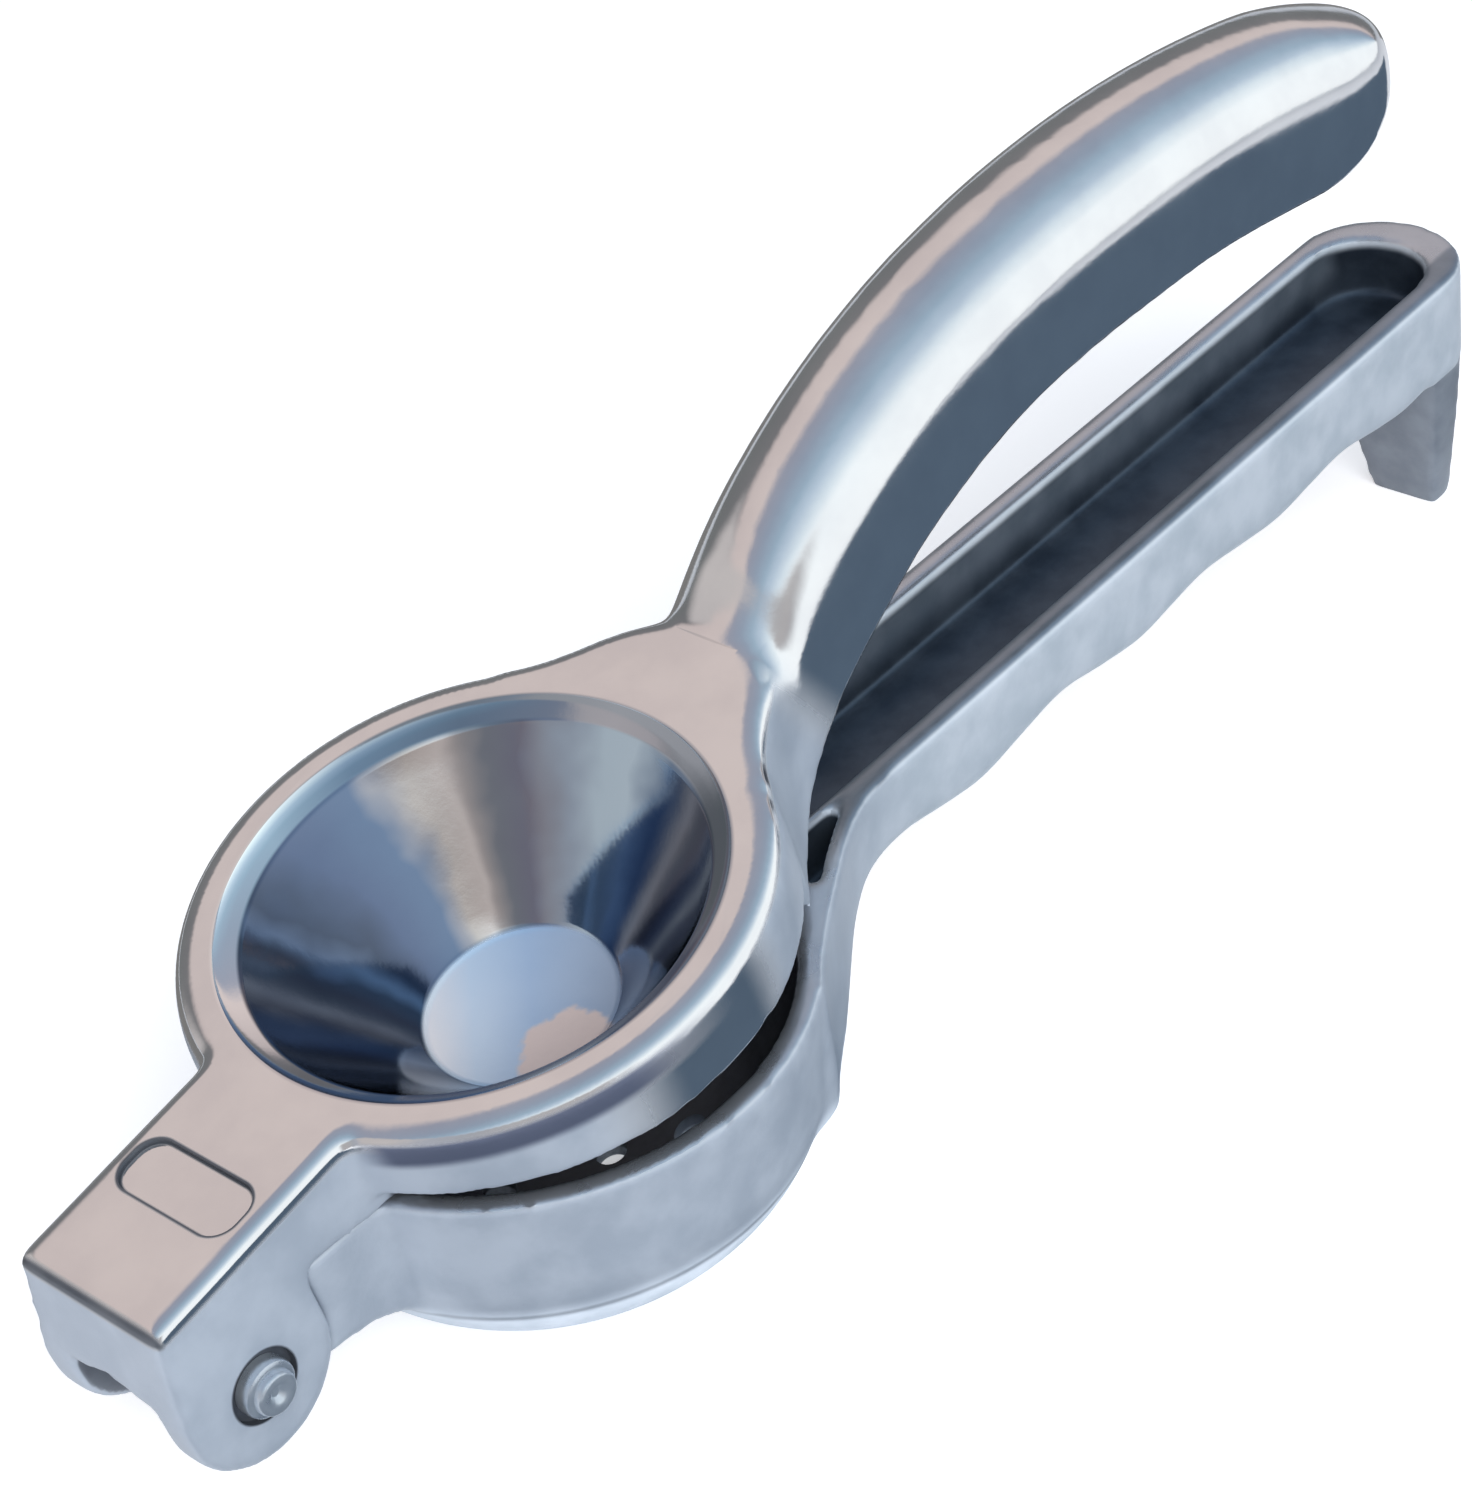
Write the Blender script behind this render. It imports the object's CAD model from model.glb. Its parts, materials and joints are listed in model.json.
"""Looks of a hinged lemon squeezer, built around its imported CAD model.

Two castings are modelled in millimetres, each in its own lever frame with the
hinge pin at the origin, and are then set down where the CAD model has them. In a
lever's frame X runs from the hinge to the handle's end, Y across the lever and Z up.
"""

import json
import logging
import math
from dataclasses import dataclass
from enum import Enum
from functools import reduce
from operator import mul
from typing import Iterable, Sequence

import bpy
from mathutils import Matrix, Vector


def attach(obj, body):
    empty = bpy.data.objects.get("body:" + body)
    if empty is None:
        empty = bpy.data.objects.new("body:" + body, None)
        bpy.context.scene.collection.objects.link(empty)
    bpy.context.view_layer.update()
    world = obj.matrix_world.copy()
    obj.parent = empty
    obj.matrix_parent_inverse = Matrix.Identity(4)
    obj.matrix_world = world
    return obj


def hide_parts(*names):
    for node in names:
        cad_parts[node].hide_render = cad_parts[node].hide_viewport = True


Point2 = tuple[float, float]
Point3 = tuple[float, float, float]
Table = tuple[Point2, ...]
Stops = tuple[tuple[float, Point3], ...]
Fade = tuple[float, float]
Piece = bpy.types.Object

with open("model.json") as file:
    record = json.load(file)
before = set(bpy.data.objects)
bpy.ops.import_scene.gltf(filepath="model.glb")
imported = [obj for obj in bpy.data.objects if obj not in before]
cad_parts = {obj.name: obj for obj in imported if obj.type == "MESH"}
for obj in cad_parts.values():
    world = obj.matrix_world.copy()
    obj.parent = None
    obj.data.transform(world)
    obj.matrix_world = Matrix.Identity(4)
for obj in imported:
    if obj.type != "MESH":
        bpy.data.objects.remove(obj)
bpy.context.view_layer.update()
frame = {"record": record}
log = logging.getLogger("squeezer")

MM = 0.001
MM_PER_M = 1000
FRAME_PX = (1472, 1500)
SENSOR_MM = 36.0
WELD = 0.0005
SOLVER = "MANIFOLD"
ORIGIN = (0, 0, 0)
SIDES = (-1, 1)
SHARP_EDGE = 35


class Cut(Enum):
    """How one solid acts on another."""

    TAKE = "DIFFERENCE"
    KEEP = "INTERSECT"


class Axis(Enum):
    """A direction along which a bar or an outline is drawn out."""

    X = 0
    Y = 1
    Z = 2


# --------------------------------------------------------------- the bench
# The modelling steps that every piece shares. Sizes are in millimetres.


def clear() -> None:
    """Leave edit mode and deselect everything."""
    if bpy.context.object and bpy.context.object.mode != "OBJECT":
        bpy.ops.object.mode_set(mode="OBJECT")
    bpy.ops.object.select_all(action="DESELECT")


def take(obj: Piece) -> None:
    """Select one object alone and make it active.

    Args:
        obj: the object.
    """
    clear()
    obj.select_set(True)
    bpy.context.view_layer.objects.active = obj


def fixed(obj: Piece) -> Piece:
    """Write the active object's place, turn and stretch into its mesh."""
    bpy.ops.object.transform_apply(location=True, rotation=True, scale=True)
    return obj


def made(name: str, stretch: Sequence[float] = (1, 1, 1)) -> Piece:
    """Name the primitive just added and write its place into its mesh.

    Args:
        name: its name.
        stretch: how far it is stretched first, along X, Y and Z.

    Returns:
        The new object.
    """
    obj = bpy.context.object
    obj.name = name
    obj.scale = stretch
    return fixed(obj)


def close(obj: Piece) -> Piece:
    """Point all faces outwards and go back to object mode.

    Args:
        obj: the object in edit mode.

    Returns:
        The same object.
    """
    bpy.ops.mesh.select_all(action="SELECT")
    bpy.ops.mesh.normals_make_consistent(inside=False)
    bpy.ops.object.mode_set(mode="OBJECT")
    return obj


def bar(name: str, radius: float, length: float, at: Point3, axis: Axis, sides: int = 96) -> Piece:
    """A round bar.

    Args:
        name: its name.
        radius: its radius.
        length: its whole length.
        at: its middle.
        axis: the direction it runs in.
        sides: how many flat sides stand for the round.

    Returns:
        The bar.
    """
    turn = {Axis.X: (0, math.pi / 2, 0), Axis.Y: (math.pi / 2, 0, 0), Axis.Z: (0, 0, 0)}[axis]
    clear()
    bpy.ops.mesh.primitive_cylinder_add(
        vertices=sides, radius=radius, depth=length, location=at, rotation=turn)
    return made(name)


def block(name: str, low: Point3, high: Point3, at: Matrix | None = None) -> Piece:
    """A box between two corners.

    Args:
        name: its name.
        low: its lowest corner.
        high: its highest corner.
        at: how it is turned and moved after that, if at all.

    Returns:
        The box.
    """
    clear()
    bpy.ops.mesh.primitive_cube_add(size=1, location=[(a + b) / 2 for a, b in zip(low, high)])
    obj = made(name, [b - a for a, b in zip(low, high)])
    if at is not None:
        obj.matrix_world = at
    return obj


def dot(name: str, at: Point3) -> Piece:
    """A single point, selected in edit mode, from which a wire is pulled.

    Args:
        name: its name.
        at: where the point lies.

    Returns:
        The point's object.
    """
    clear()
    bpy.ops.mesh.primitive_plane_add(size=0.1, location=at)
    obj = made(name)
    bpy.ops.object.mode_set(mode="EDIT")
    bpy.ops.mesh.select_mode(type="VERT")
    bpy.ops.mesh.select_all(action="SELECT")
    bpy.ops.mesh.merge(type="CENTER")
    return obj


def pull(step: Sequence[float]) -> None:
    """Extrude what is selected by one step."""
    bpy.ops.mesh.extrude_region_move(TRANSFORM_OT_translate={"value": step})


def weld() -> None:
    """Merge the points that fall together and leave everything selected."""
    bpy.ops.mesh.select_all(action="SELECT")
    bpy.ops.mesh.remove_doubles(threshold=WELD)
    bpy.ops.mesh.select_all(action="SELECT")


def outline(name: str, points: Sequence[Point3]) -> Piece:
    """A flat face, drawn by pulling one point from corner to corner.

    Args:
        name: its name.
        points: the corners in order.

    Returns:
        The face's object, left in edit mode with the face selected.
    """
    obj = dot(name, points[0])
    last = Vector(points[0])
    for point in [*points[1:], points[0]]:
        pull(Vector(point) - last)
        last = Vector(point)
    weld()
    bpy.ops.mesh.edge_face_add()
    return obj


def prism(name: str, points: Sequence[Point2], axis: Axis, low: float, high: float) -> Piece:
    """An outline drawn out along an axis.

    Args:
        name: its name.
        points: the outline's corners, in the two other axes in order.
        axis: the direction it is drawn out in.
        low: where it starts along that axis.
        high: where it ends.

    Returns:
        The closed solid.
    """
    k = axis.value
    obj = outline(name, [(*p[:k], low, *p[k:]) for p in points])
    step = [0.0, 0.0, 0.0]
    step[k] = high - low
    pull(step)
    return close(obj)


def lathe(name: str, profile: Sequence[Point2], axis_x: float = 0, sides: int = 128) -> Piece:
    """A profile spun round an upright axis.

    Args:
        name: its name.
        profile: radius and height of each point, from axis to axis.
        axis_x: where the axis stands.
        sides: how many steps make the round.

    Returns:
        The closed solid.
    """
    obj = dot(name, (axis_x + profile[0][0], 0, profile[0][1]))
    for (r0, z0), (r1, z1) in zip(profile, profile[1:]):
        pull((r1 - r0, 0, z1 - z0))
    bpy.ops.mesh.select_all(action="SELECT")
    bpy.ops.mesh.spin(steps=sides, angle=2 * math.pi, center=(axis_x, 0, 0), axis=(0, 0, 1))
    weld()
    return close(obj)


def loft(name: str, section: Sequence[Point3], stations: Sequence[tuple[Point3, Point3]]) -> Piece:
    """A section carried through stations, each with its own place and stretch.

    Args:
        name: its name.
        section: the section's corners, one unit wide, at the origin.
        stations: for each station, where the section's origin lies and how
            far it is stretched along X, Y and Z.

    Returns:
        The closed solid.
    """
    (place, stretch), *others = stations
    first = [tuple(o + s * p for o, s, p in zip(place, stretch, corner)) for corner in section]
    obj = outline(name, first)
    for new_place, new_stretch in others:
        pull(Vector(new_place) - Vector(place))
        ratio = [b / a for a, b in zip(stretch, new_stretch)]
        bpy.ops.transform.resize(value=ratio, center_override=new_place)
        place, stretch = new_place, new_stretch
    return close(obj)


def apply(obj: Piece, kind: str, **settings: object) -> Piece:
    """Put a modifier on an object and apply it.

    Args:
        obj: the object.
        kind: the modifier's type.
        **settings: its settings.

    Returns:
        The same object.
    """
    take(obj)
    step = obj.modifiers.new(kind.title(), kind)
    for key, value in settings.items():
        setattr(step, key, value)
    bpy.ops.object.modifier_apply(modifier=step.name)
    return obj


def cut(obj: Piece, how: Cut, *tools: Piece) -> Piece:
    """Let tools cut or trim an object, and throw them away.

    Args:
        obj: the object worked on.
        how: what the tools do.
        *tools: the solids used for it.

    Returns:
        The same object.
    """
    for tool in tools:
        apply(obj, "BOOLEAN", object=tool, operation=how.value, solver=SOLVER)
        bpy.data.objects.remove(tool)
    return obj


def join(name: str, pieces: Iterable[Piece]) -> Piece:
    """Several overlapping solids as one object.

    Args:
        name: its name.
        pieces: the solids.

    Returns:
        The object that holds them all.
    """
    first, *others = pieces
    take(first)
    for piece in others:
        piece.select_set(True)
    bpy.ops.object.join()
    first.name = name
    return first


def cast(obj: Piece, grain: float, rounds: int = 0) -> Piece:
    """Fuse overlapping solids into one skin with the soft edges of a casting.

    Args:
        obj: the overlapping solids.
        grain: the skin's mesh width.
        rounds: how often the skin is smoothed.

    Returns:
        The same object.
    """
    apply(obj, "REMESH", mode="VOXEL", voxel_size=grain, adaptivity=0.0)
    if rounds:
        apply(obj, "SMOOTH", factor=0.5, iterations=rounds)
    return obj


def settle(obj: Piece, matrix: Matrix) -> Piece:
    """Move a piece and write its new place into its mesh.

    Args:
        obj: the piece.
        matrix: from where it is to its new place.

    Returns:
        The same piece.
    """
    take(obj)
    obj.matrix_world = matrix
    return fixed(obj)


def smooth(obj: Piece, angle: float) -> None:
    """Shade smooth, with edges sharper than the angle in degrees kept."""
    take(obj)
    bpy.ops.object.shade_smooth_by_angle(angle=math.radians(angle))


def along(table: Sequence[Point2], x: float) -> float:
    """Read a smooth curve through a table of points.

    Args:
        table: the points, in order of their first value.
        x: where to read it. Beyond the table it keeps its end values.

    Returns:
        The curve's value there.
    """
    x = min(max(x, table[0][0]), table[-1][0])
    rises = [(y1 - y0) / (x1 - x0) for (x0, y0), (x1, y1) in zip(table, table[1:])]
    inner = [0.0 if a * b <= 0 else 2 * a * b / (a + b) for a, b in zip(rises, rises[1:])]
    slopes = [rises[0], *inner, rises[-1]]
    spans = zip(table, table[1:], slopes, slopes[1:])
    (x0, y0), (x1, y1), m0, m1 = next(span for span in spans if x <= span[1][0])
    w = x1 - x0
    t = (x - x0) / w
    return (
        (2 * t**3 - 3 * t**2 + 1) * y0 + (t**3 - 2 * t**2 + t) * w * m0
        + (3 * t**2 - 2 * t**3) * y1 + (t**3 - t**2) * w * m1
    )



def arc(centre: Point2, radius: float, start: float, end: float, steps: int = 16) -> list[Point2]:
    """Points along a circle's arc.

    Args:
        centre: the circle's centre.
        radius: its radius.
        start: the first angle in degrees.
        end: the last angle.
        steps: how many chords stand for the arc.

    Returns:
        The points in order.
    """
    turns = [math.radians(start + (end - start) * k / steps) for k in range(steps + 1)]
    return [(centre[0] + radius * math.cos(a), centre[1] + radius * math.sin(a)) for a in turns]


def mirrored(half: Sequence[Point2]) -> list[Point2]:
    """The other half of an outline, mirrored in its second axis and run backwards."""
    return [(x, -y) for x, y in reversed(half)]


# ------------------------------------------------------------- the stance


@dataclass(frozen=True)
class Stance:
    """Where the levers' own frames lie in the model."""

    pin: Point3
    rim_slope: float = 2.5
    open_angle: float = 9.6

    def lever(self, angle: float) -> Matrix:
        """The matrix from a lever's frame, in millimetres, to the model."""
        turn = Matrix.Rotation(-math.radians(angle), 4, "Y")
        return Matrix.Translation(self.pin) @ turn @ Matrix.Scale(MM, 4)

    @property
    def lower(self) -> Matrix:
        """The lower lever's place."""
        return self.lever(self.rim_slope)

    @property
    def upper(self) -> Matrix:
        """The upper lever's place."""
        return self.lever(self.rim_slope + self.open_angle)


# ------------------------------------------------------------ the castings


@dataclass
class UpperLever:
    """The upper casting: ears, plate, ring, presser cup and arched handle.

    A table holds distances from the hinge, or radii on the turned parts, each
    with a height or a half width. The cup's wall runs out and up from its floor.
    """

    stance: Stance
    grain: float = 0.56
    rounds: int = 14
    top: float = 14.5
    cup_x: float = 46.5
    ring_r: float = 30.2
    ring_flat: float = 28.1
    ring_low: float = 4.9
    ring_slope: float = 3.6
    ring_side: float = 8.0
    edge_in: float = 2.1
    edge_down: float = 4.0
    ear_r: float = 8.7
    ear_half: float = 10.45
    plate_half: float = 9.45
    block_ends: Point2 = (4, 24)
    stop: float = 7.1
    slot_r: float = 7.6
    slot_half: float = 5.8
    slot_end: float = 18.4
    slot_top: float = 3.2
    arch_z: float = -1.8
    neck_half: float = 9.2
    neck_fillet: float = 24.0
    neck_depth: float = 7.4
    neck_end: float = 84.8
    neck_low: float = -5.5
    level_end: float = 83.0
    level_cut: float = 0.04
    badge_at: Point2 = (7.2, 0.15)
    badge_half: Point2 = (3.1, 7.4)
    badge_r: float = 2.5
    badge_deep: float = 0.6
    seat_r: float = 3.75
    bore_r: float = 2.52
    wall: float = 2.6
    hollow: Point2 = (86, 196.5)
    flank: float = 0.36
    fullness: float = 0.95
    web: Table = (
        (-8.6, 1.2), (-8.45, 3.0), (-7.8, 6.0), (-7.15, 9.0), (-6.5, 12.0), (-6.0, 14.4), (10, 14.4),
        (9.2, 8))
    cup_outside: Table = ((0, -5.4), (11.2, -5.4), (25.6, 10.7), (25.6, 13.0), (0, 13.0))
    cup_floor: Table = ((0, -3.2), (9.4, -3.2), (10.0, -3.0), (10.5, -2.5))
    cup_wall: Point2 = (12.6, 15.1)
    cup_lip: Table = (
        (23.35, 12.95), (23.7, 13.15), (24.4, 13.5), (25.0, 13.9), (25.45, 14.35), (25.6, 14.62), (25.7, 17),
        (0, 17))
    skirt: Table = (
        (44, 5.0), (60, 4.2), (66, 0.0), (71, -4.2), (73.5, -4.9), (76.5, -4.7), (80, -2.6), (85, -0.1),
        (88.9, 1.9))
    crown: Table = (
        (68, 9.0), (74, 11.0), (80, 13.2), (83, 14.5), (85, 15.9), (87.5, 18.2), (90, 20.3), (95, 23.3),
        (100, 25.4), (107, 27.5), (115, 29.1), (127, 30.1), (137, 29.8), (147, 28.8), (157, 27.2),
        (167, 24.9), (177, 21.9), (187, 18.1), (193, 15.0), (197, 12.6), (200, 10.6), (201.6, 9.2),
        (202.3, 8.2))
    belly: Table = (
        (68, -1.0), (76, -2.5), (80, -2.0), (85, -0.1), (88, 1.5), (92.6, 3.9), (96.7, 5.8), (100.9, 7.5),
        (105.3, 9.3), (112.6, 11.0), (120, 12.1), (128, 12.4), (137, 11.7), (147, 10.1), (157, 8.1),
        (167, 5.2), (175, 2.4), (181, 0.4), (186, -0.3), (190, 0.1), (194, 1.5), (197.5, 3.3),
        (200.2, 5.2), (202.3, 7.2))
    half: Table = (
        (68, 9.2), (80, 9.3), (84, 9.6), (86.5, 9.3), (90, 9.1), (105, 9.2), (127, 9.6), (150, 10.2),
        (188, 10.3), (192, 9.9), (195, 9.2), (198, 7.6), (200.2, 5.6), (201.8, 3.0), (202.3, 1.2))
    stations: tuple[float, ...] = (
        68, 71, 74, 77, 80, 83, 86, 89, 92, 95, 98, 102, 106, 110, 114, 118, 122, 127, 132, 137, 142, 147,
        152, 157, 162, 167, 172, 176, 180, 183, 186, 188.5, 191, 193, 195, 196.5, 198, 199, 200, 200.8,
        201.5, 202, 202.3)

    def grip_section(self) -> list[Point3]:
        """The handle's section, one unit wide each way and one unit high.

        Returns:
            Its corners, from one lower edge over the crown to the other.
        """
        edge = [(-0.9, 0.0), (-0.97, 0.018), (-1, 0.055), (-1, 0.16), (-1, 0.26)]
        back = [(-y, z) for y, z in reversed(edge)]
        steps = 14
        arch = []
        for k in range(steps + 1):
            a = math.pi * (1 - k / steps)
            spread = math.copysign(abs(math.cos(a)) ** self.fullness, math.cos(a))
            rise = (1 - self.flank) * math.sin(a) ** self.fullness if 0 < k < steps else 0.0
            arch.append((spread, self.flank + rise))
        return [(0, y, z) for y, z in edge + arch + back]

    def grip(self, name: str, inset: float, start: float, end: float) -> Piece:
        """The handle's solid, or its hollow, which runs on out of its underside.

        Args:
            name: its name.
            inset: how far it lies inside the outer skin.
            start: its first station.
            end: its last station.

        Returns:
            The closed solid.
        """
        below = 3.0 if inset else 0.0
        places = []
        for u in [s for s in self.stations if start <= s <= end]:
            low = along(self.belly, u) - below
            high = along(self.crown, u) - inset
            places.append(((u, 0.0, low), (1.0, along(self.half, u) - inset, high - low)))
        return loft(name, self.grip_section(), places)

    def ears(self) -> Piece:
        """The ears with the web that closes their front, and the block behind.

        Returns:
            The two solids as one object, their sides leaning in towards the plate.
        """
        opening = math.radians(self.stance.open_angle)
        fall = math.tan(opening)
        low = self.stop / math.cos(opening)
        fore, aft = self.block_ends
        plans = {
            "ear_side": arc(ORIGIN[:2], self.ear_r, 0, -170, 40) + list(self.web),
            "block": [(fore, low - fore * fall), (aft, low - aft * fall), (aft, self.top), (fore, self.top)],
        }
        lean = math.atan((self.ear_half - self.plate_half) / self.top)
        solids = []
        for name, plan in plans.items():
            solid = prism(name, plan, Axis.Y, -self.ear_half, self.ear_half)
            for side in SIDES:
                at = Matrix.Translation((0, side * self.ear_half, 0)) @ Matrix.Rotation(side * lean, 4, "X")
                low_y, high_y = sorted((0, side * 20))
                cut(solid, Cut.TAKE, block("lean", (-40, low_y, 0), (60, high_y, 40), at))
            solids.append(solid)
        return join("ears", solids)

    def head(self) -> Piece:
        """The ring, the outside of its cup and the neck of the handle.

        Returns:
            The overlapping solids as one object.
        """
        profile = [(0, self.top), (self.ring_flat - 1, self.top)]
        for x, y in arc(ORIGIN[:2], 1, 90, 0, 12):
            profile.append((self.ring_flat + self.edge_in * x, self.top - self.edge_down * (1 - y)))
        profile += [(self.ring_r, self.ring_side), (self.ring_r, 0.0), (0, 0.0)]
        ring = lathe("ring", profile, self.cup_x)
        slope = Matrix.Rotation(math.radians(self.ring_slope), 4, "Y")
        at = Matrix.Translation((self.cup_x, 0, self.ring_low)) @ slope
        cut(ring, Cut.TAKE, block("under", (-90, -60, -60), (90, 60, 0), at))
        cup = lathe("cup", self.cup_outside, self.cup_x)
        return join("head", [ring, cup, *self.neck()])

    def neck(self) -> list[Piece]:
        """The neck from the ring to the handle, in layers that round its upper edge.

        Returns:
            The part below the rounding, then the layers from the bottom up.
        """
        away = self.ring_r + self.neck_fillet
        reach = math.sqrt(away**2 - (self.neck_half + self.neck_fillet) ** 2)
        middle = (self.cup_x + reach, -self.neck_half - self.neck_fillet)
        touch = self.cup_x + self.ring_r * reach / away
        floor = self.top - self.neck_depth
        last = self.neck_end
        wide = ((60, self.edge_in), (77.0, self.edge_in + 0.1), (80.3, 3.4), (82.4, 6.0), (last, 9.3))
        deep = ((60, self.edge_down), (77.0, self.edge_down), (last, self.neck_depth))
        steps = layers = 14

        def edge(level: float, end: float) -> list[Point2]:
            """The neck's edge at one level, from the ring to its end and back.

            Args:
                level: the height.
                end: how far the neck runs from the hinge.

            Returns:
                The corners in order.
            """
            near = [(self.cup_x, -20.0)]
            for k in range(steps + 1):
                x = touch + (end - touch) * k / steps
                drop = max(0.0, (level - self.top + along(deep, x)) / along(deep, x))
                inset = along(wide, x) * (1 - math.sqrt(1 - min(drop, 1.0) ** 2))
                near.append((x, middle[1] + math.sqrt(self.neck_fillet**2 - (x - middle[0]) ** 2) + inset))
            return near + mirrored(near)

        skirt = [*self.skirt, (self.skirt[-1][0], floor), (self.skirt[0][0], floor)]
        below = prism("neck", edge(floor, 89.0), Axis.Z, self.neck_low, floor)
        solids = [cut(below, Cut.KEEP, prism("skirt", skirt, Axis.Y, -35, 35))]
        turns = [math.sin(math.pi / 2 * k / layers) for k in range(layers + 1)]
        levels = [self.top - (self.top - floor) * (1 - turn) for turn in turns]
        for low, high in zip(levels, levels[1:]):
            plan = edge((low + high) / 2, last)
            solids.append(prism("neck", plan, Axis.Z, low - 0.3, high))
        return solids

    def slot(self) -> list[Piece]:
        """The room for the lower lever's tongue, and the web's arched edge.

        Returns:
            The solids that are cut out.
        """
        half = self.slot_half
        opening = Matrix.Rotation(math.radians(self.stance.open_angle), 4, "Y")
        return [
            bar("room", self.slot_r, 2 * half, ORIGIN, Axis.Y),
            block("behind", (0, -half, -14), (self.slot_end, half, self.stop), opening),
            block("below", (-12, -half, -12), (1, half, self.slot_top)),
            bar("arch", half, 10, (-7, 0, self.arch_z), Axis.X),
        ]

    def cup_tool(self) -> Piece:
        """The hollow of the presser cup, as a solid.

        Returns:
            The solid that is cut out.
        """
        (r, z), (run, rise), steps = self.cup_floor[-1], self.cup_wall, 8
        wall = [(r + run * k / steps, z + rise * k / steps) for k in range(1, steps + 1)]
        return lathe("cup_hollow", [*self.cup_floor, *wall, *self.cup_lip], self.cup_x, 192)

    def badge_tool(self) -> Piece:
        """The bare badge recess, as a solid.

        Returns:
            The solid that is cut out.
        """
        r = self.badge_r
        (x, y), (half_x, half_y) = self.badge_at, self.badge_half
        plan = []
        for turn, sx, sy in ((0, 1, 1), (90, -1, 1), (180, -1, -1), (270, 1, -1)):
            plan += arc((x + sx * (half_x - r), y + sy * (half_y - r)), r, turn, turn + 90, 8)
        return prism("badge", plan, Axis.Z, self.top - self.badge_deep, self.top + 3)

    def build(self) -> Piece:
        """Model the casting.

        Returns:
            The piece in its place.
        """
        grip = self.grip("grip", 0, self.stations[0], self.stations[-1])
        body = join("upper_lever_casting", [self.ears(), self.head(), grip])
        cast(body, self.grain)
        cut(body, Cut.TAKE, *self.slot(), self.grip("grip_hollow", self.wall, *self.hollow))
        cast(body, self.grain, self.rounds)
        low = self.top - self.level_cut
        level = block("level", (-20, -40, low), (self.level_end, 40, self.top + 0.5))
        cut(body, Cut.TAKE, level, self.cup_tool(), self.badge_tool())
        for side in SIDES:
            at = (0, side * (self.ear_half + 0.2), 0)
            cut(body, Cut.TAKE, bar("seat", self.seat_r, 2.0, at, Axis.Y, 64))
        cut(body, Cut.TAKE, bar("bore", self.bore_r, 30, ORIGIN, Axis.Y, 48))
        return settle(body, self.stance.upper)


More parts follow.
